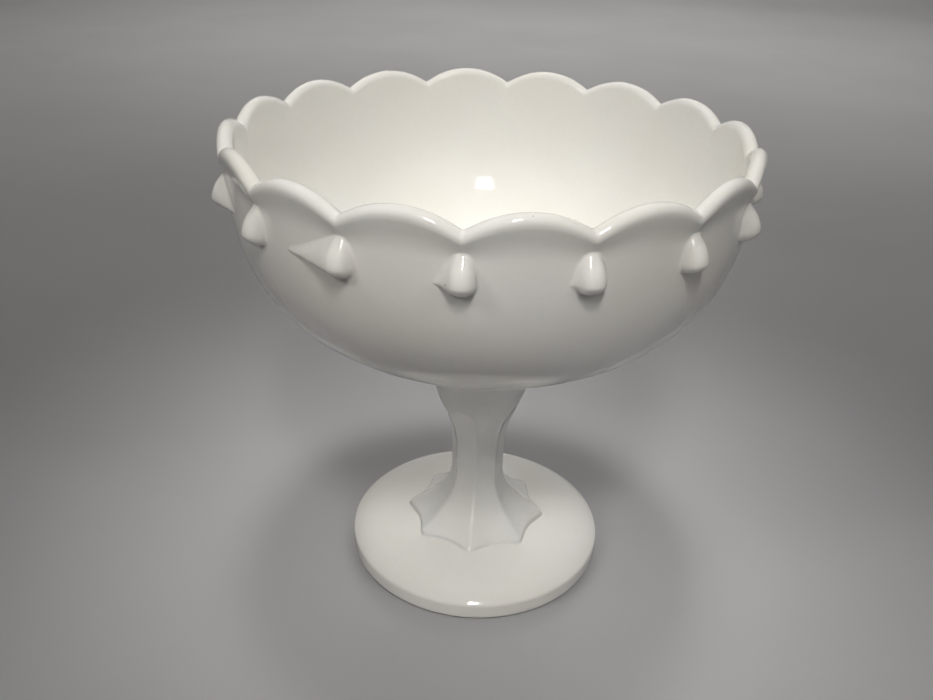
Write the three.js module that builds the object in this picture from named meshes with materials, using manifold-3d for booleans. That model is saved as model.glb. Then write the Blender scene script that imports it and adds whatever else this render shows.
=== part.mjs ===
// A pressed-glass pedestal bowl: a deep scalloped bowl with a teardrop under each notch, a fluted
// stem that ends in an eight-pointed star, and a round domed foot.
// Millimetres, +Z up, origin at the centre of the foot's bearing plane, one notch facing -Y.
import * as THREE from "three";
import { ConvexGeometry } from "three/addons/geometries/ConvexGeometry.js";
import { mergeVertices } from "three/addons/utils/BufferGeometryUtils.js";
import Module from "manifold-3d";

const wasm = await Module();
wasm.setup();

// Driving dimensions.
const JOINT_GAP = 0.3; // clearance kept between touching solids

const SCALLOPS = 16;
const RIM_RADIUS = 102; // centre line of the rounded lip
const LIP_RADIUS = 3; // half the lip's thickness
const NOTCH_TOP = 200; // top of the lip in a notch
const SCALLOP_RISE = 6; // top of a scallop above the notches
const LIFT_START = 182; // the wall starts to follow the scallops here
const WALL_TOP = 188; // height where the bowl's wall is at its full radius
const OUTER_RADIUS = 102.7;
const INNER_RADIUS = 98.6;
const BOWL_BOTTOM = 112;
const FLOOR_HEIGHT = 119; // inside of the bowl's bottom
const BOWL_SQUARENESS = [2.3, 2.6]; // superellipse exponents of the bowl's section

const DROP_RADIUS = 102.3; // where the middles of a teardrop's horizontal slices lie
const DROP = { bottom: 178.4, widest: 183, top: 193.6 }; // heights
const DROP_HALF = { across: 4.9, out: 6.3 }; // at the widest slice
const DROP_TIP_SHARE = 0.4; // reach of a teardrop's tip, as a share of its widest reach
const MOULD_HALVES = 2;
const PULL_AZIMUTH = -43; // degrees: the way one half of the mould opened
const PARTING = 80; // degrees from the pull: nearer the parting a teardrop needs no tail
const TAIL_START = { across: 4.9, out: 5.8 }; // half-sizes of the slice that the tail leaves
const TAIL_END = { radius: 102.5, height: 182.3 }; // where a tail dies out in the wall
const NO_TAIL_DEPTH = 1; // how far in from its middle a teardrop without a tail is closed

const RIDGES = 8;
const STEM_RADIUS = 12.4; // over the ridges, at the waist
const FLUTE_DEPTH = { stem: 0.12, star: 0.165 }; // shares of the radius
const WAIST = { low: 43, high: 46 }; // the stem is straight between these heights
const STAR_RADIUS = 33.6; // over the star's points
const STAR_TOP = 17.2;
const STAR_FLARE = 2.14; // power of the lower flare
const FORK = { height: 69.5, radius: 14.9 }; // where each ridge forks into two
const FORK_FLARE = 3.2; // power of the ridges' upper flare
const COLLAR = { slope: 0.33, straightTop: 84, topRadius: 36 };
const FLUTES_END = 95; // the collar has cut the flutes off below this height

const FOOT_RADIUS = 59.5;
const FOOT_TOP = 15.6; // flat seat under the star
const FOOT_SEAT_RADIUS = 29;
const EDGE = { topRadius: 1.9, topHeight: 9.6, turn: 50, bottomRadius: 3 }; // the foot's rim
const DOME_SHOULDER = 51.2; // radius where the dome's outer slope would meet its top
const BEARING_INNER_RADIUS = 43;
const RECESS_DEPTH = 6;

// Mesh fineness.
const BOWL_SEGMENTS = SCALLOPS * 6;
const STEM_SEGMENTS = RIDGES * 6;
const FOOT_SEGMENTS = 48;

const milkGlass = { color: 0xe9e6dc, roughness: 0.12, metalness: 0 };

const along = (from, to, share) => from + (to - from) * share;

const polar = (centreRadius, centreHeight, size, degrees) => {
  const turn = THREE.MathUtils.degToRad(degrees);
  return new THREE.Vector2(
    centreRadius + size * Math.cos(turn),
    centreHeight + size * Math.sin(turn),
  );
};

// Points on an arc of a section, from one angle to another, ends included.
function arc(centreRadius, centreHeight, size, from, to, steps) {
  return Array.from({ length: steps + 1 }, (_, i) =>
    polar(centreRadius, centreHeight, size, along(from, to, i / steps)),
  );
}

// A quarter of a superellipse, from the axis at `bottom` up to `radius` at WALL_TOP.
function bowlCurve(radius, bottom, steps) {
  const [downPower, outPower] = BOWL_SQUARENESS;
  return Array.from({ length: steps + 1 }, (_, i) => {
    const turn = ((i / steps) * Math.PI) / 2;
    return new THREE.Vector2(
      radius * Math.sin(turn) ** (2 / outPower),
      WALL_TOP - (WALL_TOP - bottom) * Math.cos(turn) ** (2 / downPower),
    );
  });
}

// Height of the bowl's outside over a given radius.
function bowlUnderside(radius) {
  const [downPower, outPower] = BOWL_SQUARENESS;
  const drop = (1 - (radius / OUTER_RADIUS) ** outPower) ** (1 / downPower);
  return WALL_TOP - (WALL_TOP - BOWL_BOTTOM) * drop;
}

// A solid of revolution about +Z, whose first column of vertices lies towards -Y.
function turned(section, segments) {
  return new THREE.LatheGeometry(section, segments).rotateX(Math.PI / 2);
}

// Moves every vertex by a function of its azimuth from -Y, its radius and its height.
function reshape(geometry, change) {
  const position = geometry.attributes.position;
  for (let i = 0; i < position.count; i++) {
    const x = position.getX(i);
    const y = position.getY(i);
    const turn = Math.atan2(x, -y);
    const next = change(turn, Math.hypot(x, y), position.getZ(i));
    position.setXYZ(i, next.radius * Math.sin(turn), -next.radius * Math.cos(turn), next.height);
  }
  return geometry;
}

// 0 at a repeat's ends and 1 at its middle, for `count` repeats round the axis.
function shareOfRepeat(turn, count) {
  const repeats = (turn / (2 * Math.PI)) * count;
  const share = repeats - Math.floor(repeats + 1e-6);
  return THREE.MathUtils.clamp(1 - Math.abs(2 * share - 1), 0, 1);
}

// Rise of the lip over the notches: one circular arc per scallop.
function scallopRise(turn) {
  const halfChord = (Math.PI * RIM_RADIUS) / SCALLOPS;
  const arcRadius = (halfChord ** 2 + SCALLOP_RISE ** 2) / (2 * SCALLOP_RISE);
  const fromMiddle = halfChord * (1 - shareOfRepeat(turn, SCALLOPS));
  return Math.sqrt(arcRadius ** 2 - fromMiddle ** 2) - (arcRadius - SCALLOP_RISE);
}

const lipCentre = NOTCH_TOP - LIP_RADIUS;

// The outside of the wall from the axis up to the lip's underside, in a notch.
const outerWall = [
  ...bowlCurve(OUTER_RADIUS, BOWL_BOTTOM, 9),
  new THREE.Vector2(OUTER_RADIUS + 0.5, along(WALL_TOP, lipCentre, 0.45)),
  new THREE.Vector2(OUTER_RADIUS + 1.5, along(WALL_TOP, lipCentre, 0.75)),
];

function bowl() {
  const section = [
    ...outerWall,
    ...arc(RIM_RADIUS, lipCentre, LIP_RADIUS, 0, 180, 6),
    ...bowlCurve(INNER_RADIUS, FLOOR_HEIGHT, 7).reverse(),
  ];
  return reshape(turned(section, BOWL_SEGMENTS), (turn, radius, height) => {
    const share = (height - LIFT_START) / (lipCentre - LIFT_START);
    const lift = scallopRise(turn) * THREE.MathUtils.clamp(share, 0, 1);
    return { radius, height: height + lift };
  });
}

// The wall that the teardrops lie against, made solid and grown by the joint gap.
function wallCutter() {
  const skin = outerWall.map((point) => new THREE.Vector2(point.x + JOINT_GAP, point.y));
  const lip = arc(RIM_RADIUS, lipCentre, LIP_RADIUS + JOINT_GAP, 0, 90, 3);
  const section = [new THREE.Vector2(0, BOWL_BOTTOM), ...skin, ...lip, new THREE.Vector2(0, NOTCH_TOP)];
  return solid(turned(section, BOWL_SEGMENTS));
}

// A geometry as a manifold-3d solid.
function solid(geometry) {
  const plain = geometry.clone();
  plain.deleteAttribute("normal");
  plain.deleteAttribute("uv");
  const merged = mergeVertices(plain, 1e-3);
  return new wasm.Manifold(
    new wasm.Mesh({
      numProp: 3,
      vertProperties: merged.attributes.position.array,
      triVerts: new Uint32Array(merged.index.array),
    }),
  );
}

// A manifold-3d solid as a geometry.
function geometryOf(made) {
  const { vertProperties, triVerts } = made.getMesh();
  const geometry = new THREE.BufferGeometry();
  geometry.setAttribute("position", new THREE.BufferAttribute(vertProperties, 3));
  geometry.setIndex(new THREE.BufferAttribute(triVerts, 1));
  return geometry;
}

// Angle in degrees from the middle of the mould half that formed the azimuth, from -90 to 90.
function fromPull(azimuth) {
  const half = 360 / MOULD_HALVES;
  const past = azimuth - PULL_AZIMUTH + half / 2;
  return THREE.MathUtils.euclideanModulo(past, half) - half / 2;
}

// Half-sizes of a teardrop's horizontal slice: round below its widest height, tapered above.
function dropSlice(height) {
  if (height < DROP.widest) {
    const share = (DROP.widest - height) / (DROP.widest - DROP.bottom);
    return {
      across: DROP_HALF.across * Math.sqrt(1 - share ** 2),
      out: DROP_HALF.out * (1 - share ** 1.5) ** 0.6,
    };
  }
  const share = (height - DROP.widest) / (DROP.top - DROP.widest);
  return {
    across: DROP_HALF.across * Math.sqrt(1 - share ** 2),
    out: DROP_HALF.out * (1 - (1 - DROP_TIP_SHARE) * share ** 1.5),
  };
}

// Points round a teardrop's body, slice by slice, as [out, across, up].
function dropPoints() {
  const below = [1, 0.8, 0.5].map((share) => along(DROP.widest, DROP.bottom, share));
  const above = [0, 0.25, 0.5, 0.7, 0.85, 1].map((share) => along(DROP.widest, DROP.top, share));
  const spokes = 12;
  return [...below, ...above].flatMap((height) => {
    const { across, out } = dropSlice(height);
    return Array.from({ length: spokes }, (_, i) => {
      const turn = (i / spokes) * 2 * Math.PI;
      return [DROP_RADIUS + out * Math.cos(turn), across * Math.sin(turn), height];
    });
  });
}

// Where a teardrop's tail ends: a line drawn back along the mould's pull, past the teardrop's
// side, meets the wall there.
function tailTip(azimuth) {
  const past = THREE.MathUtils.degToRad(fromPull(azimuth));
  if (Math.abs(past) > THREE.MathUtils.degToRad(PARTING)) {
    return new THREE.Vector3(DROP_RADIUS - NO_TAIL_DEPTH, 0, TAIL_END.height);
  }
  const pull = new THREE.Vector2(Math.cos(past), -Math.sin(past));
  const side = new THREE.Vector2(Math.abs(Math.sin(past)), Math.sign(past) * Math.cos(past));
  const halfSize = Math.hypot(TAIL_START.out * side.x, TAIL_START.across * side.y);
  const offAxis = DROP_RADIUS * side.x + halfSize;
  const drawn = Math.sqrt(TAIL_END.radius ** 2 - offAxis ** 2);
  const tip = side.multiplyScalar(offAxis).addScaledVector(pull, drawn);
  return new THREE.Vector3(tip.x, tip.y, TAIL_END.height);
}

// A teardrop, drawn out along the mould's pull into the tail that let the mould open.
function teardrop(azimuth, cutter) {
  const body = dropPoints().map((point) => new THREE.Vector3(...point));
  const hull = new ConvexGeometry([...body, tailTip(azimuth)]);
  return geometryOf(solid(hull.rotateZ(THREE.MathUtils.degToRad(azimuth))).subtract(cutter));
}

// Radius over the ridges at a height.
function ridgeRadius(height) {
  if (height < WAIST.low) {
    const share = (WAIST.low - height) / (WAIST.low - STAR_TOP);
    return STEM_RADIUS + (STAR_RADIUS - STEM_RADIUS) * Math.min(share, 1) ** STAR_FLARE;
  }
  const share = Math.max(height - WAIST.high, 0) / (FORK.height - WAIST.high);
  return STEM_RADIUS + (FORK.radius - STEM_RADIUS) * share ** FORK_FLARE;
}

// Radius of the plain flared collar under the bowl, which cuts the ridges off in forks.
function collarRadius(height) {
  if (height < FORK.height) return Infinity;
  const straight = FORK.radius + COLLAR.slope * (height - FORK.height);
  const top = bowlUnderside(COLLAR.topRadius) - JOINT_GAP;
  const past = Math.max(height - COLLAR.straightTop, 0) / (top - COLLAR.straightTop);
  const straightAtTop = FORK.radius + COLLAR.slope * (top - FORK.height);
  return straight + (COLLAR.topRadius - straightAtTop) * past ** 2;
}

// The flutes are concave arcs between sharp ridges, and grow deeper towards the star.
function fluteShare(turn, height) {
  const flared = Math.min(Math.max(WAIST.low - height, 0) / (WAIST.low - STAR_TOP), 1);
  const depth = along(FLUTE_DEPTH.stem, FLUTE_DEPTH.star, flared);
  return 1 - depth * (1 - (1 - shareOfRepeat(turn, RIDGES)) ** 2);
}

function stem() {
  const starBottom = FOOT_TOP + JOINT_GAP;
  const collarTop = bowlUnderside(COLLAR.topRadius) - JOINT_GAP;
  const heights = [
    ...[0, 0.08, 0.18, 0.3, 0.44, 0.6, 0.78, 1].map((share) => along(STAR_TOP, WAIST.low, share)),
    ...[0.15, 0.4, 0.65, 0.85, 1].map((share) => along(WAIST.low, FORK.height, share)),
    ...[0.13, 0.27, 0.4, 0.53, 0.68, 0.84, 1].map((share) => along(FORK.height, collarTop, share)),
  ];
  const side = heights.map((height) => new THREE.Vector2(ridgeRadius(height), height));
  const seat = [0.66, 0.33, 0].map((share) => {
    const radius = COLLAR.topRadius * share;
    return new THREE.Vector2(radius, bowlUnderside(radius) - JOINT_GAP);
  });
  const base = [new THREE.Vector2(0, starBottom), new THREE.Vector2(STAR_RADIUS, starBottom)];
  return reshape(turned([...base, ...side, ...seat], STEM_SEGMENTS), (turn, radius, height) => {
    const fluted = height < FLUTES_END ? radius * fluteShare(turn, height) : radius;
    return { radius: Math.min(fluted, collarRadius(height)), height };
  });
}

function foot() {
  const edgeRadius = FOOT_RADIUS - EDGE.topRadius;
  const edgeHeight = EDGE.topHeight - EDGE.topRadius;
  const bottomRadius = FOOT_RADIUS - EDGE.bottomRadius;
  const recess = [1, 0.8, 0.5, 0].map((share) => {
    const depth = RECESS_DEPTH * (1 - share ** 2);
    return new THREE.Vector2(BEARING_INNER_RADIUS * share, depth);
  });
  const dome = new THREE.QuadraticBezierCurve(
    polar(edgeRadius, edgeHeight, EDGE.topRadius, EDGE.turn),
    new THREE.Vector2(DOME_SHOULDER, FOOT_TOP),
    new THREE.Vector2(FOOT_SEAT_RADIUS, FOOT_TOP),
  );
  const section = [
    ...recess.reverse(),
    ...arc(bottomRadius, EDGE.bottomRadius, EDGE.bottomRadius, -90, 0, 3),
    ...arc(edgeRadius, edgeHeight, EDGE.topRadius, 0, EDGE.turn, 2).slice(0, -1),
    ...dome.getPoints(6),
    new THREE.Vector2(0, FOOT_TOP),
  ];
  return turned(section, FOOT_SEGMENTS);
}

const group = new THREE.Group();

function addPiece(name, geometry) {
  const mesh = new THREE.Mesh(geometry, new THREE.MeshStandardMaterial(milkGlass));
  mesh.name = name;
  group.add(mesh);
}

addPiece("bowl", bowl());
addPiece("stem", stem());
addPiece("foot", foot());

const cutter = wallCutter();
for (let i = 0; i < SCALLOPS; i++) {
  const azimuth = -90 + (i * 360) / SCALLOPS;
  addPiece(`teardrop_${String(i + 1).padStart(2, "0")}`, teardrop(azimuth, cutter));
}

export default group;
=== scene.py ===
"""A footed milk-glass bowl: a scalloped bowl with raised teardrops, a fluted stem on an
eight-pointed star, and a domed foot. Shapes are worked out in millimetres, in the CAD frame,
and become metres when a mesh is made.

A turn is an angle from the front (-Y), growing towards +X.
"""
import math

import bpy
import numpy as np
from mathutils import Matrix, Vector


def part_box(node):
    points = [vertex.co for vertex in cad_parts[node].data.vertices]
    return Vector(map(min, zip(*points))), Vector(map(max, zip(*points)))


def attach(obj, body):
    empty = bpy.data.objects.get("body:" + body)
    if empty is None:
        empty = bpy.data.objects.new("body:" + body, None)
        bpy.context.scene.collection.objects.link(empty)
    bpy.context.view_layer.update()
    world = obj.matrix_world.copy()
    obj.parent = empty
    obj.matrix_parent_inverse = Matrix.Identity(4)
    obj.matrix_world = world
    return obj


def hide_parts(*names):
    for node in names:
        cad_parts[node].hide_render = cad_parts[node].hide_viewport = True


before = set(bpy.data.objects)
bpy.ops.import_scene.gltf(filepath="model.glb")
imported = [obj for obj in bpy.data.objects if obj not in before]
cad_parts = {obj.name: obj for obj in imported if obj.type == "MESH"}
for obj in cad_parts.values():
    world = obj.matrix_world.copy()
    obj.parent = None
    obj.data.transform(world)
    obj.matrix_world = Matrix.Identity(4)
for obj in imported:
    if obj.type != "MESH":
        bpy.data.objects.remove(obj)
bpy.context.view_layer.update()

MM = 0.001


def box_mm(node):
    """The lowest and highest corner of a CAD node, in millimetres."""
    return [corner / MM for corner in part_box(node)]


BOWL_LOW, BOWL_HIGH = box_mm("bowl")
STEM_LOW, STEM_HIGH = box_mm("stem")
FOOT_LOW, FOOT_HIGH = box_mm("foot")

# The bowl.
SCALLOPS = 16
SCALLOP_RISE = 6.0
LIP_RADIUS = 3.0
RIM_RADIUS = BOWL_HIGH.x - LIP_RADIUS
LIP_CENTRE = BOWL_HIGH.z - SCALLOP_RISE - LIP_RADIUS
BOWL_BOTTOM = BOWL_LOW.z
WALL_TOP = LIP_CENTRE - 9.0
LIFT_START = LIP_CENTRE - 15.0
OUTER_RADIUS = RIM_RADIUS + 0.7
INNER_RADIUS = RIM_RADIUS - 3.4
INNER_BOTTOM = BOWL_BOTTOM + 7.0
DOWN_POWER, OUT_POWER = 2.3, 2.6
LIP_START = -20.0  # degrees: where the lip's round leaves the wall
NOTCH_SOFTNESS = 0.8
VALLEY = {"depth": 0.35, "half_width": 3.2, "height": LIP_CENTRE - 5.5, "half_height": 5.0}

# The stem.
RIDGES = 8
WAIST_RADIUS = 12.4
FLUTE_DEPTH, STAR_FLUTE_DEPTH = 0.12, 0.165
RIDGE_SOFTNESS = 0.12
WAIST_LOW, WAIST_HIGH = 43.0, 46.0
STAR_RADIUS, STAR_TOP, STAR_FLARE = 33.6, 17.2, 2.14
FORK_HEIGHT, FORK_RADIUS, FORK_FLARE = 69.5, 14.9, 3.2
COLLAR_SLOPE, COLLAR_STRAIGHT_TOP = 0.33, 84.0
COLLAR_RADIUS = STEM_HIGH.x
COLLAR_FILLET = 4.5
FLUTES_END = 95.0
FLUTES_FADE = 4.0
STAR_SOFTNESS, FORK_SOFTNESS = 1.2, 0.35  # how far the stem's edges are rounded off
STAR_FLASH, STAR_FLASH_HEIGHT = 0.7, 0.3  # the small fillet where the star meets the foot

# The foot.
FOOT_RADIUS = FOOT_HIGH.x
FOOT_TOP = FOOT_HIGH.z
FOOT_SEAT_RADIUS = 29.0
DOME_SHOULDER = 51.2
EDGE_RADIUS, EDGE_TOP, EDGE_END = 1.9, 9.6, 50.0
HEEL_RADIUS = 3.0
BEARING_INNER_RADIUS = 43.0
RECESS_DEPTH = 6.0

# The teardrops.
DROP_RADIUS = 102.3  # where the middles of a teardrop's horizontal slices lie
DROP_BOTTOM, DROP_WIDEST, DROP_TOP = 178.4, 183.0, 193.0
DROP_HALF_WIDTH, DROP_REACH, DROP_TIP_SHARE = 4.9, 6.3, 0.4
DROP_SQUARENESS = 2.3  # superellipse exponent of a slice
DROP_FILLET = 1.2  # how softly a teardrop runs into the wall
DROP_DEPTH = 1.4  # how thick its root in the wall is
DROP_SKIRT = 2.6  # how far the root reaches round it
DROP_STEEPEST = 1.2  # limit on the slope that the distance allows for
DROP_CELL = 0.36  # the sampling grid's cell
PULL_TURN = 47.0  # degrees: the way one half of the mould opened
PARTING = 80.0  # degrees from the pull: nearer the parting a teardrop has no tail
TAIL_START = {"out": 5.8, "across": 4.9}  # half-sizes of the slice that the tail leaves
TAIL_END = {"radius": 102.5, "height": 182.3}  # where a tail dies out in the wall
NO_TAIL_DEPTH = 1.0
SEARCH_ROUNDS, LARGEST_SHARE = 11, 0.98  # the search for the nearest part of a tail

# The mould left two fine seams, where its halves met.
SEAM_TURNS = (math.radians(PULL_TURN + 90.0), math.radians(PULL_TURN - 90.0))
SEAM_HEIGHT, SEAM_HALF_WIDTH = 0.09, 0.32
PIECE_OVERLAP = 0.7  # how far a piece reaches into its neighbour, so that the glass looks whole

CAMERA_PLACE = Vector((0.02476, -0.35403, 0.29771))
CAMERA_HEADING, CAMERA_PITCH, CAMERA_ROLL = (math.radians(a) for a in (-5.109, 28.627, 1.804))
CAMERA_LENS = 34.99


# ---------------------------------------------------------------- small helpers

def smooth_min(a, b, reach):
    """The lower of two values, rounded off where they are within `reach` of each other."""
    h = np.clip(reach - np.abs(a - b), 0.0, None) / reach
    return np.minimum(a, b) - h * h * reach / 4.0


def bezier(points, steps):
    """Points on a Bezier curve of any degree, ends included."""
    share = np.linspace(0.0, 1.0, steps + 1)[:, None]
    level = [np.array(point, float) for point in points]
    while len(level) > 1:
        level = [a + (b - a) * share for a, b in zip(level, level[1:])]
    return level[0]


def arc(radius, height, size, start, end, steps):
    """Points on an arc of a section, angles in degrees, ends included."""
    angle = np.radians(np.linspace(start, end, steps + 1))
    return np.stack([radius + size * np.cos(angle), height + size * np.sin(angle)], 1)


def joined(*runs):
    """Runs of section points end to end, without the points that repeat."""
    points = np.vstack(runs)
    step = np.hypot(*np.diff(points, axis=0).T)
    return points[np.concatenate([[True], step > 1e-6])]


def from_repeat(turn, count):
    """0 at the ends of each of `count` repeats round the axis, 1 at the middle."""
    share = np.mod(turn / (2.0 * math.pi) * count, 1.0)
    return 1.0 - np.abs(2.0 * share - 1.0)


def seam_relief(turn, radius):
    """The height of the mould seams over the surface."""
    relief = 0.0
    for seam in SEAM_TURNS:
        off = np.mod(turn - seam + math.pi, 2.0 * math.pi) - math.pi
        relief = relief + np.exp(-((off * radius / SEAM_HALF_WIDTH) ** 2))
    return SEAM_HEIGHT * relief


def ripple(turn, height, size):
    """The slow waviness that fire polishing leaves on pressed glass."""
    waves = [(3, 0.061, 0.4), (5, -0.113, 2.1), (8, 0.171, 4.4), (13, -0.093, 1.2)]
    return size * sum(np.sin(n * turn + k * height + phase) for n, k, phase in waves) / 4.0


# ---------------------------------------------------------------- the bowl's surface

def bowl_curve(radius, bottom, steps):
    """A quarter of a superellipse, from the axis up to `radius` at the wall's top."""
    angle = np.linspace(0.0, math.pi / 2.0, steps + 1)
    outward = radius * np.sin(angle) ** (2.0 / OUT_POWER)
    upward = WALL_TOP - (WALL_TOP - bottom) * np.abs(np.cos(angle)) ** (2.0 / DOWN_POWER)
    return np.stack([outward, upward], 1)


def bowl_underside(radius):
    """The height of the bowl's outside over a radius."""
    share = (1.0 - (radius / OUTER_RADIUS) ** OUT_POWER) ** (1.0 / DOWN_POWER)
    return WALL_TOP - (WALL_TOP - BOWL_BOTTOM) * share


def outer_section():
    """The outside from the axis to the top of the lip, in a notch."""
    lip = arc(RIM_RADIUS, LIP_CENTRE, LIP_RADIUS, LIP_START, 90.0, 18)
    angle = math.radians(LIP_START)
    leaving = np.array([-math.sin(angle), math.cos(angle)])
    neck = bezier([(OUTER_RADIUS, WALL_TOP), (OUTER_RADIUS, WALL_TOP + 3.5),
                   lip[0] - 2.6 * leaving, lip[0]], 12)
    return joined(bowl_curve(OUTER_RADIUS, BOWL_BOTTOM, 64), neck, lip)


def inner_section():
    """The inside from the top of the lip down to the axis, in a notch."""
    lip = arc(RIM_RADIUS, LIP_CENTRE, LIP_RADIUS, 90.0, 180.0, 11)
    neck = bezier([lip[-1], lip[-1] - (0.0, 3.0), (INNER_RADIUS, WALL_TOP + 3.0),
                   (INNER_RADIUS, WALL_TOP)], 6)
    return joined(lip, neck, bowl_curve(INNER_RADIUS, INNER_BOTTOM, 52)[::-1])


OUTER_SECTION = outer_section()
HALF_CHORD = math.pi * RIM_RADIUS / SCALLOPS
SCALLOP_ARC = (HALF_CHORD ** 2 + SCALLOP_RISE ** 2) / (2.0 * SCALLOP_RISE)


def arc_rise(from_notch):
    """The rise of one scallop's circular arc, a distance from its notch."""
    return np.sqrt(SCALLOP_ARC ** 2 - (HALF_CHORD - from_notch) ** 2) - SCALLOP_ARC + SCALLOP_RISE


def scallop_rise(turn):
    """The rise of the lip over its notches, each notch softened a little."""
    from_notch = HALF_CHORD * from_repeat(turn, SCALLOPS)
    soft = np.minimum(np.sqrt(from_notch ** 2 + NOTCH_SOFTNESS ** 2), HALF_CHORD)
    lowest = arc_rise(NOTCH_SOFTNESS)
    return (arc_rise(soft) - lowest) * SCALLOP_RISE / (SCALLOP_RISE - lowest)


def lifted(turn, height):
    """The height of a section point once the wall follows the scallops."""
    share = np.clip((height - LIFT_START) / (LIP_CENTRE - LIFT_START), 0.0, 1.0)
    return height + scallop_rise(turn) * share


def unlifted(turn, height):
    """The section height of a point on the finished wall."""
    rise = scallop_rise(turn)
    span = LIP_CENTRE - LIFT_START
    share = np.clip((height - LIFT_START) / (span + rise), 0.0, 1.0)
    return height - rise * share


def outer_relief(turn, radius, height):
    """What the outside stands proud of its plain section: seams, waves and notch valleys."""
    across = HALF_CHORD * from_repeat(turn, SCALLOPS) / VALLEY["half_width"]
    up = (height - VALLEY["height"]) / VALLEY["half_height"]
    valley = VALLEY["depth"] * np.exp(-(across ** 2) - up ** 2)
    return seam_relief(turn, radius) + ripple(turn, height, 0.05) - valley


# ---------------------------------------------------------------- meshes

def turned_faces(rings, columns):
    """Faces of a closed surface of revolution: a pole, its rings, and another pole."""
    column = np.arange(columns)
    after = np.roll(column, -1)
    first = 1 + np.arange(rings - 1)[:, None] * columns
    quads = np.stack([first + column, first + after, first + columns + after,
                      first + columns + column], -1).reshape(-1, 4)
    last = 1 + (rings - 1) * columns
    bottom = np.stack([np.zeros_like(column), after + 1, column + 1], 1)
    top = np.stack([np.full(columns, last + columns), last + column, last + after], 1)
    return quads.tolist() + bottom.tolist() + top.tolist()


def turned(turns, radius, height):
    """Points and faces of a turned shape. radius and height have a row for each ring, and the
    first and last rows are the poles."""
    x, y = radius * np.sin(turns), -radius * np.cos(turns)
    rings = np.stack([x, y, height], -1)
    points = np.vstack([rings[0, :1], rings[1:-1].reshape(-1, 3), rings[-1, :1]])
    return points, turned_faces(len(radius) - 2, len(turns))


def scallop_turns(per_scallop):
    """Turns round the bowl, closer together at the notches."""
    share = np.arange(per_scallop) / per_scallop
    eased = 0.25 * share + 0.75 * (0.5 - 0.5 * np.cos(math.pi * share))
    return np.concatenate([(k + eased) * 2.0 * math.pi / SCALLOPS for k in range(SCALLOPS)])


def bowl_mesh():
    turns = scallop_turns(30)
    outer, inner = OUTER_SECTION, inner_section()
    section = joined(outer, inner)
    radius = np.repeat(section[:, :1], len(turns), 1)
    height = np.repeat(section[:, 1:], len(turns), 1)
    count = len(outer) - 6  # the relief stops short of the lip's top
    relief = outer_relief(turns[None], radius[:count], height[:count])
    fade = np.clip((LIP_CENTRE + 1.5 - height[:count]) / 3.0, 0.0, 1.0)
    near_axis = np.clip(radius[:count] / 20.0, 0.0, 1.0)
    radius[:count] += relief * fade * near_axis
    inside = slice(len(outer) + 12, None)
    radius[inside] += ripple(turns[None], height[inside] * 1.3, 0.05) * radius[inside] / INNER_RADIUS
    return turned(turns, radius, lifted(turns[None], height))


def ridge_radius(height):
    """The stem's radius over its ridges."""
    low = np.clip((WAIST_LOW - height) / (WAIST_LOW - STAR_TOP), 0.0, None)
    high = np.clip((height - WAIST_HIGH) / (FORK_HEIGHT - WAIST_HIGH), 0.0, None)
    flare = WAIST_RADIUS + (STAR_RADIUS - WAIST_RADIUS) * low ** STAR_FLARE
    return flare + (FORK_RADIUS - WAIST_RADIUS) * high ** FORK_FLARE


def collar_radius(height, top):
    """The plain flared collar that cuts the ridges off in forks."""
    straight = FORK_RADIUS + COLLAR_SLOPE * (height - FORK_HEIGHT)
    at_top = FORK_RADIUS + COLLAR_SLOPE * (top - FORK_HEIGHT)
    past = np.clip((height - COLLAR_STRAIGHT_TOP) / (top - COLLAR_STRAIGHT_TOP), 0.0, 1.0)
    return straight + (COLLAR_RADIUS - at_top) * past ** 2


def flute_share(turn, height):
    """The flutes' share of the ridge radius: concave arcs that grow deeper towards the star,
    between softened ridges."""
    flared = np.clip((WAIST_LOW - height) / (WAIST_LOW - STAR_TOP), 0.0, 1.0)
    depth = FLUTE_DEPTH + (STAR_FLUTE_DEPTH - FLUTE_DEPTH) * flared
    soft = np.sqrt(from_repeat(turn, RIDGES) ** 2 + RIDGE_SOFTNESS ** 2)
    return 1.0 - depth * (1.0 - (1.0 - np.minimum(soft, 1.0)) ** 2)


def stem_heights(top):
    """Ring heights, close together where the shape turns quickly."""
    runs = [(FOOT_TOP - PIECE_OVERLAP, STAR_TOP + 1.5, 22), (STAR_TOP + 1.5, WAIST_LOW, 34),
            (WAIST_LOW, FORK_HEIGHT - 2.0, 20), (FORK_HEIGHT - 2.0, COLLAR_STRAIGHT_TOP + 4.0, 36),
            (COLLAR_STRAIGHT_TOP + 4.0, top - COLLAR_FILLET, 22)]
    straight = np.concatenate([np.linspace(a, b, n, endpoint=False) for a, b, n in runs])
    turn_in = np.sin(np.linspace(0.0, math.pi / 2.0, 12))
    return np.concatenate([straight, top - COLLAR_FILLET + COLLAR_FILLET * turn_in])


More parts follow.
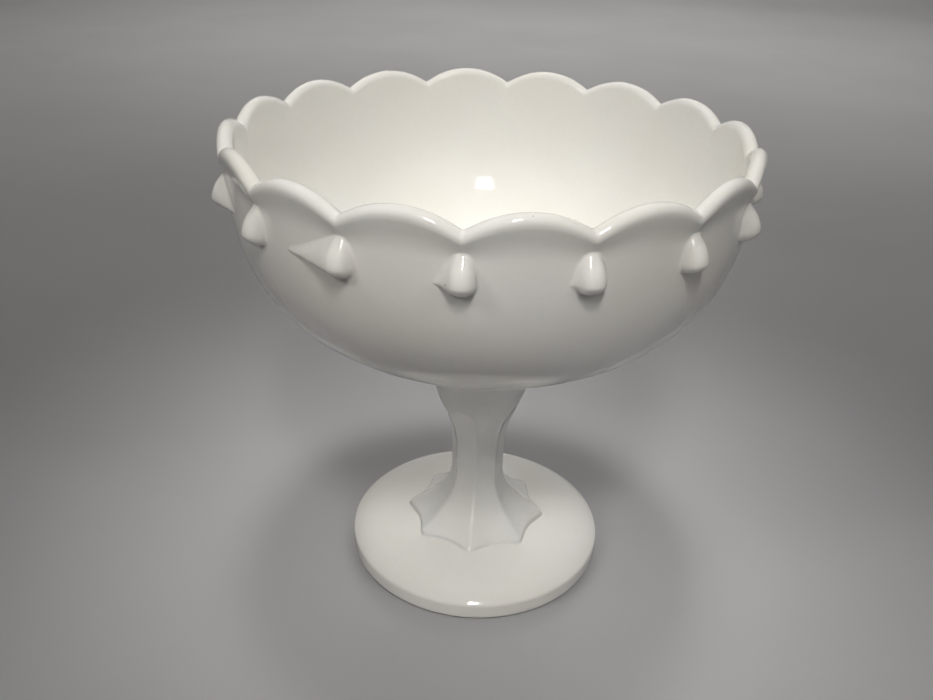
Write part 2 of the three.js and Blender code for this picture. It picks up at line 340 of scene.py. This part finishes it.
def stem_mesh():
    turns = np.arange(RIDGES * 40) * 2.0 * math.pi / (RIDGES * 40)
    top = bowl_underside(COLLAR_RADIUS)
    height = stem_heights(top)[:, None]
    fluted = ridge_radius(height) * flute_share(turns[None], height)
    star = STAR_RADIUS * flute_share(turns[None], STAR_TOP)
    side = smooth_min(fluted, np.broadcast_to(star, fluted.shape), STAR_SOFTNESS)
    over_foot = np.clip(height - FOOT_TOP + 0.1, 0.0, None)
    side = side + STAR_FLASH * np.exp(-over_foot / STAR_FLASH_HEIGHT)
    past_fork = np.where(height < FORK_HEIGHT - 4.0, 1e3, collar_radius(height, top))
    side = smooth_min(side, np.broadcast_to(past_fork, side.shape), FORK_SOFTNESS)
    plain = np.clip((height - FLUTES_END) / FLUTES_FADE, 0.0, 1.0)
    side = side * (1.0 - plain) + collar_radius(height, top) * plain
    up = np.clip((height - (top - COLLAR_FILLET)) / COLLAR_FILLET, 0.0, 1.0)
    side = side + COLLAR_FILLET * (1.0 - np.sqrt(1.0 - up ** 2))
    side = side + seam_relief(turns[None], side) + ripple(turns[None], height * 2.0, 0.04)
    ring = np.ones_like(side[:1])
    radius = np.vstack([0.0 * ring, side, 0.6 * side[-1:], 0.0 * ring])
    heights = np.broadcast_to(height, side.shape)
    high = top + 0.3
    height = np.vstack([heights[:1], heights, high * ring, high * ring])
    return turned(turns, radius, height)


def foot_section():
    share = np.linspace(0.0, 1.0, 16)
    recess = np.stack([BEARING_INNER_RADIUS * share, RECESS_DEPTH * (1.0 - share ** 2)], 1)
    heel = arc(FOOT_RADIUS - HEEL_RADIUS, HEEL_RADIUS, HEEL_RADIUS, -90.0, 0.0, 10)
    edge = arc(FOOT_RADIUS - EDGE_RADIUS, EDGE_TOP - EDGE_RADIUS, EDGE_RADIUS, 0.0, EDGE_END, 16)
    dome = bezier([edge[-1], (DOME_SHOULDER, FOOT_TOP), (FOOT_SEAT_RADIUS, FOOT_TOP)], 24)
    seat = np.linspace((FOOT_SEAT_RADIUS, FOOT_TOP), (0.0, FOOT_TOP), 6)
    return joined(recess, heel, edge, dome, seat)


def foot_turns():
    """Even turns round the foot, with more beside each seam."""
    even = np.arange(256) * 2.0 * math.pi / 256
    beside = np.radians([-0.9, -0.6, -0.35, -0.15, 0.15, 0.35, 0.6, 0.9])
    near = [np.mod(seam + beside, 2.0 * math.pi) for seam in SEAM_TURNS]
    return np.unique(np.round(np.concatenate([even, *near]), 6))


def foot_mesh():
    turns = foot_turns()
    section = foot_section()
    radius = np.repeat(section[:, :1], len(turns), 1)
    height = np.repeat(section[:, 1:], len(turns), 1)
    upper = np.clip((height - HEEL_RADIUS) / 3.0, 0.0, 1.0) * (radius > 20.0)
    height = height + upper * (seam_relief(turns[None], radius) + ripple(turns[None], radius, 0.04))
    return turned(turns, radius, height)


# ---------------------------------------------------------------- teardrops

def tail_tip(turn_degrees):
    """Where a teardrop's tail ends in the wall, as (across, out, up): the mould's pull, drawn
    back from the teardrop's side, meets the wall there."""
    past = math.radians(np.mod(turn_degrees - PULL_TURN + 90.0, 180.0) - 90.0)
    if abs(past) > math.radians(PARTING):
        return np.array([0.0, DROP_RADIUS - NO_TAIL_DEPTH, TAIL_END["height"]])
    side = np.array([math.copysign(math.cos(past), past), abs(math.sin(past))])
    pull = np.array([-math.sin(past), math.cos(past)])
    support = math.hypot(TAIL_START["across"] * side[0], TAIL_START["out"] * side[1])
    off_axis = DROP_RADIUS * side[1] + support
    along = math.sqrt(TAIL_END["radius"] ** 2 - off_axis ** 2)
    return np.append(off_axis * side + along * pull, TAIL_END["height"])


def drop_slice(height):
    """Half-sizes of a teardrop's horizontal slice, across and out."""
    low = np.clip((DROP_WIDEST - height) / (DROP_WIDEST - DROP_BOTTOM), 0.0, 1.0)
    high = np.clip((height - DROP_WIDEST) / (DROP_TOP - DROP_WIDEST), 0.0, 1.0)
    width = DROP_HALF_WIDTH * np.sqrt(1.0 - low ** 2) * (1.0 - high ** 2) ** 0.55
    taper = (1.0 - (1.0 - DROP_TIP_SHARE) * high ** 1.5) * np.sqrt(1.0 - high ** 3)
    reach = DROP_REACH * (1.0 - low ** 1.5) ** 0.6 * taper
    return np.maximum(width, 0.05), np.maximum(reach, 0.05)


SLICE_HEIGHTS = np.linspace(DROP_BOTTOM - 0.1, DROP_TOP + 0.1, 600)
SLICE_WIDTHS, SLICE_REACHES = drop_slice(SLICE_HEIGHTS)
SLICE_SLOPES = np.clip(np.gradient(SLICE_REACHES, SLICE_HEIGHTS), -DROP_STEEPEST, DROP_STEEPEST)


def body_distance(across, out, up):
    """About the distance to a teardrop's body."""
    width = np.interp(up, SLICE_HEIGHTS, SLICE_WIDTHS)
    reach = np.interp(up, SLICE_HEIGHTS, SLICE_REACHES)
    slope = np.interp(up, SLICE_HEIGHTS, SLICE_SLOPES)
    x, y = np.abs(across / width), np.abs((out - DROP_RADIUS) / reach)
    size = (x ** DROP_SQUARENESS + y ** DROP_SQUARENESS) ** (1.0 / DROP_SQUARENESS)
    steep = np.hypot(x ** (DROP_SQUARENESS - 1.0) / width, y ** (DROP_SQUARENESS - 1.0) / reach)
    level = size ** (DROP_SQUARENESS - 1.0) * (size - 1.0) / np.maximum(steep, 1e-6)
    flank = level / np.sqrt(1.0 + slope ** 2)
    return np.maximum(flank, np.maximum(up - DROP_TOP, DROP_BOTTOM - up))


def drop_distance(place, tip):
    """About the distance to the hull of a teardrop's body and the tip of its tail. The hull is
    the body shrunk towards the tip by every share, and the nearest share is searched for."""
    def shrunk(share):
        across, out, up = tip[:, None] + (place - tip[:, None]) / (1.0 - share)
        return body_distance(across, out, up) * (1.0 - share)

    golden = (math.sqrt(5.0) - 1.0) / 2.0
    low, high = np.zeros(place.shape[1]), np.full(place.shape[1], LARGEST_SHARE)
    a, b = high - golden * (high - low), low + golden * (high - low)
    at_a, at_b = shrunk(a), shrunk(b)
    for _ in range(SEARCH_ROUNDS):
        left = at_a < at_b
        low, high = np.where(left, low, a), np.where(left, b, high)
        a, b = high - golden * (high - low), low + golden * (high - low)
        fresh = shrunk(np.where(left, a, b))
        at_a, at_b = np.where(left, fresh, at_b), np.where(left, at_a, fresh)
    return np.minimum(np.minimum(at_a, at_b), shrunk(np.zeros_like(a)))


def wall_distance(turn, radius, height):
    """Distance out from the bowl's outside, near the teardrops."""
    section = OUTER_SECTION[OUTER_SECTION[:, 1] > DROP_BOTTOM - 35.0]
    level = unlifted(turn, height)
    face = np.interp(level, section[:, 1], section[:, 0])
    slope = np.interp(level + 0.1, section[:, 1], section[:, 0]) - face
    return (radius - face - outer_relief(turn, radius, level)) / np.sqrt(1.0 + (slope / 0.1) ** 2)


def drop_field(points, centre_turn, tip):
    """Below 0 inside a teardrop and the thin root that lies in the wall."""
    x, y, z = points
    out = x * math.sin(centre_turn) - y * math.cos(centre_turn)
    across = x * math.cos(centre_turn) + y * math.sin(centre_turn)
    wall = wall_distance(np.arctan2(x, -y), np.hypot(x, y), z)
    near = (wall > -DROP_DEPTH - 0.8) & (wall < DROP_REACH + 1.5)
    field = np.where(wall > 0.0, wall, -wall - DROP_DEPTH)
    drop = drop_distance(np.stack([across[near], out[near], z[near]]), tip)
    blended = smooth_min(drop, wall[near] + 0.02, DROP_FILLET)
    root = np.maximum(drop - DROP_SKIRT, -wall[near] - DROP_DEPTH)
    field[near] = np.maximum(blended, root)
    return field


def surface_net(field):
    """Points, in cells, and outward quads of the surface where a sampled field is 0."""
    shape = np.array(field.shape) - 1
    total = np.zeros((shape.prod(), 3))
    count = np.zeros(shape.prod())
    quads = []
    for axis in range(3):
        u, v = (axis + 1) % 3, (axis + 2) % 3
        near = np.moveaxis(np.moveaxis(field, axis, 0)[:-1], 0, axis)
        far = np.moveaxis(np.moveaxis(field, axis, 0)[1:], 0, axis)
        edge = np.argwhere((near < 0.0) != (far < 0.0))
        low, high = near[tuple(edge.T)], far[tuple(edge.T)]
        crossing = edge.astype(float)
        crossing[:, axis] += low / (low - high)
        cells = []
        for du, dv in ((-1, -1), (0, -1), (0, 0), (-1, 0)):
            cell = edge.copy()
            cell[:, u] += du
            cell[:, v] += dv
            cells.append(np.ravel_multi_index(cell.T, shape))
            np.add.at(total, cells[-1], crossing)
            np.add.at(count, cells[-1], 1)
        quad = np.stack(cells, 1)
        quad[low >= 0.0] = quad[low >= 0.0][:, ::-1]
        quads.append(quad)
    used, index = np.unique(np.concatenate(quads), return_inverse=True)
    return total[used] / count[used][:, None], index.reshape(-1, 4)


def settle(points, distance, rounds):
    """Moves points onto the surface where distance(points) is 0."""
    for _ in range(rounds):
        here = distance(points)
        step = 0.02
        slope = np.stack([distance(points + step * side[:, None]) - here for side in np.eye(3)]) / step
        points = points - here * slope / np.maximum((slope ** 2).sum(0), 0.2)
    return points


def teardrop_mesh(turn_degrees):
    centre_turn = math.radians(turn_degrees)
    tip = tail_tip(turn_degrees)
    reach = DROP_HALF_WIDTH + DROP_SKIRT * math.hypot(1.0, DROP_STEEPEST) + 1.0
    across = np.arange(min(tip[0], 0.0) - reach, max(tip[0], 0.0) + reach, DROP_CELL)
    out = np.arange(DROP_RADIUS - 12.0, DROP_RADIUS + DROP_REACH + 1.0, DROP_CELL)
    up = np.arange(DROP_BOTTOM - DROP_SKIRT - 1.0, DROP_TOP + DROP_SKIRT + 1.0, DROP_CELL)
    a, o, u = np.meshgrid(across, out, up, indexing="ij")
    side = np.array([math.cos(centre_turn), math.sin(centre_turn), 0.0])
    forward = np.array([math.sin(centre_turn), -math.cos(centre_turn), 0.0])

    def placed(a, o, u):
        return np.stack([a * side[0] + o * forward[0], a * side[1] + o * forward[1], u])

    def field(points):
        return drop_field(points, centre_turn, tip)

    cells, quads = surface_net(field(placed(a, o, u)))
    local = np.array([across[0], out[0], up[0]]) + cells * DROP_CELL
    points = settle(placed(*local.T), field, 3)
    return points.T, quads.tolist()


# ---------------------------------------------------------------- materials

def add_node(tree, kind, settings=None, **inputs):
    """A node with its settings and the values of its sockets. A socket's name has _ for a space."""
    node = tree.nodes.new(kind)
    for name, value in (settings or {}).items():
        setattr(node, name, value)
    for name, value in inputs.items():
        socket = node.inputs[name.replace("_", " ")]
        if isinstance(value, bpy.types.NodeSocket):
            tree.links.new(value, socket)
        else:
            socket.default_value = value
    return node


def noise(tree, place, scale, detail=3.0, roughness=0.55, distortion=0.0):
    made = add_node(tree, "ShaderNodeTexNoise", Vector=place, Scale=scale, Detail=detail,
                    Roughness=roughness, Distortion=distortion)
    return made.outputs["Fac"]


def spread(tree, value, low, high, to_low, to_high):
    """A varying value carried from one range to another, held at its ends."""
    made = add_node(tree, "ShaderNodeMapRange", {"interpolation_type": "SMOOTHSTEP"}, Value=value,
                    From_Min=low, From_Max=high, To_Min=to_low, To_Max=to_high)
    return made.outputs["Result"]


def blend(tree, share, first, second, how="MIX"):
    """Two colours mixed by a varying share."""
    made = tree.nodes.new("ShaderNodeMix")
    made.data_type, made.blend_type = "RGBA", how
    for socket, value in zip((made.inputs[0], made.inputs[6], made.inputs[7]), (share, first, second)):
        if isinstance(value, bpy.types.NodeSocket):
            tree.links.new(value, socket)
        else:
            socket.default_value = value
    return made.outputs[2]


def combine(tree, how, first, second):
    made = add_node(tree, "ShaderNodeMath", {"operation": how})
    for socket, value in zip(made.inputs, (first, second)):
        if isinstance(value, bpy.types.NodeSocket):
            tree.links.new(value, socket)
        else:
            socket.default_value = value
    return made.outputs[0]


def stretched(tree, place, scale):
    """The place with each axis scaled, for streaks."""
    made = add_node(tree, "ShaderNodeMapping", Vector=place, Scale=scale)
    return made.outputs["Vector"]


def pinpricks(tree, place, scale, size):
    """1 in a few small round spots and 0 elsewhere: one cell in eight has a spot."""
    cells = add_node(tree, "ShaderNodeTexVoronoi", Vector=place, Scale=scale)
    spot = spread(tree, cells.outputs["Distance"], size, size * 0.5, 0.0, 1.0)
    parts = add_node(tree, "ShaderNodeSeparateColor", Color=cells.outputs["Color"])
    chosen = spread(tree, parts.outputs["Red"], 0.86, 0.88, 0.0, 1.0)
    return combine(tree, "MULTIPLY", spot, chosen)


WHITE = (0.845, 0.838, 0.812, 1.0)
CREAM = (0.832, 0.812, 0.768, 1.0)
COOL = (0.815, 0.818, 0.805, 1.0)
GRIT = (0.16, 0.13, 0.10, 1.0)
SCUFF = (0.44, 0.43, 0.41, 1.0)
INCLUSION = (0.02, 0.018, 0.016, 1.0)
GRAIN_PLACE = (-0.0048, -0.1062, 0.1835)
GRAIN_OUTER, GRAIN_INNER = 0.00055, 0.00035


def glass_colour(tree, place, warm):
    """Opal white that drifts between a cream and a cooler white, with a few grains in it."""
    drift = spread(tree, noise(tree, place, 13.0, 3.0, 0.5, 0.8), 0.36, 0.66, 0.0, 1.0)
    colour = blend(tree, drift, WHITE, warm)
    cool = spread(tree, noise(tree, place, 31.0, 4.0, 0.6), 0.5, 0.75, 0.0, 0.55)
    colour = blend(tree, cool, colour, COOL)
    curd = spread(tree, noise(tree, place, 420.0, 5.0, 0.7), 0.3, 0.7, 0.0, 0.10)
    colour = blend(tree, curd, colour, (0.72, 0.71, 0.68, 1.0))
    return blend(tree, pinpricks(tree, place, 95.0, 0.022), colour, GRIT)


def glass_roughness(tree, place, polish):
    """A bright polish, duller where it has been handled and along fine hairline scratches."""
    handled = spread(tree, noise(tree, place, 24.0, 6.0, 0.65, 0.4), 0.42, 0.68, polish, polish + 0.07)
    lines = noise(tree, stretched(tree, place, (900.0, 60.0, 420.0)), 1.0, 2.0, 0.5)
    scratch = spread(tree, lines, 0.70, 0.78, 0.0, 0.16)
    return combine(tree, "ADD", handled, scratch)


def glass_relief(tree, place, flow):
    """The pressed surface: slow flow marks, a fine orange peel, and tiny open pits."""
    slow = noise(tree, stretched(tree, place, flow), 1.0, 2.0, 0.45, 0.6)
    peel = noise(tree, place, 520.0, 3.0, 0.5)
    pits = combine(tree, "MULTIPLY", pinpricks(tree, place, 150.0, 0.05), -1.0)
    first = add_node(tree, "ShaderNodeBump", Height=slow, Strength=0.55, Distance=0.0006)
    second = add_node(tree, "ShaderNodeBump", Height=peel, Strength=0.25, Distance=0.00002,
                      Normal=first.outputs["Normal"])
    third = add_node(tree, "ShaderNodeBump", Height=pits, Strength=0.5, Distance=0.00008,
                     Normal=second.outputs["Normal"])
    return third.outputs["Normal"]


def milk_glass(name, polish=0.06, warm=CREAM, flow=(34.0, 34.0, 26.0), extra=None):
    """Opaque white pressed glass. extra(tree, place, colour, roughness) adds a piece's own wear."""
    material = bpy.data.materials.new(name)
    material.use_nodes = True
    tree = material.node_tree
    place = add_node(tree, "ShaderNodeTexCoord").outputs["Object"]
    colour = glass_colour(tree, place, warm)
    roughness = glass_roughness(tree, place, polish)
    if extra:
        colour, roughness = extra(tree, place, colour, roughness)
    shader = tree.nodes["Principled BSDF"]
    shader.inputs["IOR"].default_value = 1.5
    shader.inputs["Coat Weight"].default_value = 0.15
    shader.inputs["Coat Roughness"].default_value = 0.03
    tree.links.new(colour, shader.inputs["Base Color"])
    tree.links.new(roughness, shader.inputs["Roughness"])
    tree.links.new(glass_relief(tree, place, flow), shader.inputs["Normal"])
    return material


def axis_parts(tree, place):
    """The distance from the bowl's axis and the height, in metres."""
    parts = add_node(tree, "ShaderNodeSeparateXYZ", Vector=place)
    flat = add_node(tree, "ShaderNodeCombineXYZ", X=parts.outputs["X"], Y=parts.outputs["Y"])
    length = add_node(tree, "ShaderNodeVectorMath", {"operation": "LENGTH"})
    tree.links.new(flat.outputs[0], length.inputs[0])
    return length.outputs["Value"], parts.outputs["Z"]


def serving_marks(tree, place, colour, roughness):
    """Faint cutlery marks on the bowl's inner floor."""
    from_axis, height = axis_parts(tree, place)
    inside = spread(tree, from_axis, 0.075, 0.05, 0.0, 1.0)
    above = spread(tree, height, (INNER_BOTTOM - 2.0) * MM, (INNER_BOTTOM - 0.5) * MM, 0.0, 1.0)
    lines = noise(tree, stretched(tree, place, (60.0, 1400.0, 60.0)), 1.0, 2.0, 0.6, 0.3)
    marks = combine(tree, "MULTIPLY", spread(tree, lines, 0.62, 0.72, 0.0, 0.22), inside)
    marks = combine(tree, "MULTIPLY", marks, above)
    return blend(tree, marks, colour, SCUFF), combine(tree, "ADD", roughness, marks)


def foot_wear(tree, place, colour, roughness):
    """Grey scuffs where the foot stands, and fine shelf scratches along its edge."""
    from_axis, height = axis_parts(tree, place)
    low = spread(tree, height, 1.1 * MM, 0.1 * MM, 0.0, 1.0)
    out = spread(tree, from_axis, (BEARING_INNER_RADIUS - 4.0) * MM, BEARING_INNER_RADIUS * MM, 0.0, 1.0)
    patches = spread(tree, noise(tree, place, 260.0, 6.0, 0.7), 0.42, 0.62, 0.15, 0.9)
    scuffs = combine(tree, "MULTIPLY", combine(tree, "MULTIPLY", low, out), patches)
    colour = blend(tree, scuffs, colour, SCUFF)
    dulled = combine(tree, "MULTIPLY", scuffs, 0.45)
    return colour, combine(tree, "ADD", roughness, dulled)


def with_inclusion(tree, place, colour, roughness):
    """One small black grain in the front teardrop."""
    away = add_node(tree, "ShaderNodeVectorMath", {"operation": "DISTANCE"})
    tree.links.new(place, away.inputs[0])
    away.inputs[1].default_value = GRAIN_PLACE
    grain = spread(tree, away.outputs["Value"], GRAIN_OUTER, GRAIN_INNER, 0.0, 1.0)
    return blend(tree, grain, colour, INCLUSION), roughness


# ---------------------------------------------------------------- the pieces

def add_piece(name, mesh, material, node):
    points, faces = mesh
    data = bpy.data.meshes.new(name)
    data.from_pydata((np.asarray(points) * MM).tolist(), [], faces)
    data.polygons.foreach_set("use_smooth", [True] * len(data.polygons))
    data.materials.append(material)
    data.update()
    piece = bpy.data.objects.new(name, data)
    bpy.context.scene.collection.objects.link(piece)
    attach(piece, "root")
    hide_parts(node)
    return piece


def build_pieces():
    bowl_glass = milk_glass("milk_glass_bowl", extra=serving_marks)
    stem_glass = milk_glass("milk_glass_stem", 0.08, COOL, (60.0, 60.0, 110.0))
    foot_glass = milk_glass("milk_glass_foot", 0.06, extra=foot_wear)
    drop_glass = milk_glass("milk_glass_teardrop", 0.07)
    grained = milk_glass("milk_glass_teardrop_grain", 0.07, extra=with_inclusion)
    add_piece("bowl_shell", bowl_mesh(), bowl_glass, "bowl")
    add_piece("fluted_stem", stem_mesh(), stem_glass, "stem")
    add_piece("domed_foot", foot_mesh(), foot_glass, "foot")
    for i in range(SCALLOPS):
        mesh = teardrop_mesh(i * 360.0 / SCALLOPS)
        material = grained if i == 0 else drop_glass
        add_piece(f"raised_drop_{i + 1:02d}", mesh, material, f"teardrop_{i + 1:02d}")


# ---------------------------------------------------------------- floor, lights and camera

def floor_material():
    material = bpy.data.materials.new("pale_floor")
    material.use_nodes = True
    tree = material.node_tree
    place = add_node(tree, "ShaderNodeTexCoord").outputs["Object"]
    cloud = spread(tree, noise(tree, place, 3.0, 4.0), 0.3, 0.7, 0.0, 1.0)
    colour = blend(tree, cloud, (0.38, 0.38, 0.39, 1.0), (0.41, 0.41, 0.42, 1.0))
    shader = tree.nodes["Principled BSDF"]
    shader.inputs["Roughness"].default_value = 0.7
    shader.inputs["Specular IOR Level"].default_value = 0.2
    tree.links.new(colour, shader.inputs["Base Color"])
    return material


def build_floor():
    """A pale sweep: a floor that curves up into a backdrop."""
    half, back, bend = 3.0, 2.0, 0.6
    profile = [(-3.0, 0.0)] + [(back + bend * math.sin(a), bend - bend * math.cos(a))
                               for a in np.linspace(0.0, math.pi / 2.0, 17)] + [(back + bend, 4.0)]
    points = [(x, y, z) for y, z in profile for x in (-half, half)]
    faces = [(2 * i, 2 * i + 1, 2 * i + 3, 2 * i + 2) for i in range(len(profile) - 1)]
    data = bpy.data.meshes.new("sweep")
    data.from_pydata(points, [], faces)
    data.polygons.foreach_set("use_smooth", [True] * len(faces))
    data.materials.append(floor_material())
    sweep = bpy.data.objects.new("sweep", data)
    bpy.context.scene.collection.objects.link(sweep)


WARM_LIGHT = (1.0, 0.975, 0.93)
PALE_LIGHT = (1.0, 0.98, 0.94)


def add_area_light(name, place, target, size, power, colour, spread_degrees=180.0, mirrored=False):
    """An area light aimed at a target. Only a mirrored one shows up in the glossy glass."""
    light = bpy.data.lights.new(name, "AREA")
    light.shape = "RECTANGLE"
    light.size, light.size_y = size
    light.energy = power
    light.color = colour
    light.spread = math.radians(spread_degrees)
    lamp = bpy.data.objects.new(name, light)
    lamp.location = place
    lamp.rotation_euler = (Vector(target) - Vector(place)).to_track_quat("-Z", "Y").to_euler()
    lamp.visible_glossy = mirrored
    bpy.context.scene.collection.objects.link(lamp)


def build_lights():
    add_area_light("softbox", (0.08, -0.72, 0.96), (0.03, -0.12, 0.05), (0.13, 0.3), 0.25,
                   WARM_LIGHT, 34.0, mirrored=True)
    add_area_light("overhead", (0.0, 0.1, 1.2), (0.0, 0.06, 0.2), (0.3, 0.26), 0.15, PALE_LIGHT, 20.0)
    add_area_light("left_lamp", (-0.7, -0.62, 0.85), (0.02, -0.08, 0.16), (0.2, 0.24), 0.065,
                   PALE_LIGHT, 28.0)
    add_area_light("right_lamp", (0.75, -0.6, 0.85), (-0.02, -0.08, 0.16), (0.2, 0.24), 0.035,
                   PALE_LIGHT, 28.0)
    add_area_light("inner_lamp", (-0.12, -0.9, 0.78), (-0.02, 0.1, 0.18), (0.2, 0.1), 0.03,
                   PALE_LIGHT, 15.0)
    add_area_light("back_lamp", (0.0, 1.5, 1.3), (0.0, 1.3, 0.0), (1.6, 0.8), 20.0, PALE_LIGHT)
    world = bpy.data.worlds.new("studio")
    world.use_nodes = True
    world.node_tree.nodes["Background"].inputs["Color"].default_value = (0.88, 0.86, 0.84, 1.0)
    world.node_tree.nodes["Background"].inputs["Strength"].default_value = 0.06
    bpy.context.scene.world = world


def build_camera():
    level = Vector((math.cos(CAMERA_HEADING), -math.sin(CAMERA_HEADING), 0.0))
    ahead = Vector((math.sin(CAMERA_HEADING) * math.cos(CAMERA_PITCH),
                    math.cos(CAMERA_HEADING) * math.cos(CAMERA_PITCH), -math.sin(CAMERA_PITCH)))
    upright = level.cross(ahead)
    right = math.cos(CAMERA_ROLL) * level + math.sin(CAMERA_ROLL) * upright
    up = -math.sin(CAMERA_ROLL) * level + math.cos(CAMERA_ROLL) * upright
    camera = bpy.data.cameras.new("camera")
    camera.lens = CAMERA_LENS
    camera.sensor_width = 36.0
    camera.clip_start, camera.clip_end = 0.01, 20.0
    holder = bpy.data.objects.new("camera", camera)
    facing = Matrix((right, up, -ahead)).transposed().to_4x4()
    holder.matrix_world = Matrix.Translation(CAMERA_PLACE) @ facing
    bpy.context.scene.collection.objects.link(holder)
    bpy.context.scene.camera = holder


bpy.context.scene.view_settings.view_transform = "Standard"
build_pieces()
build_floor()
build_lights()
build_camera()
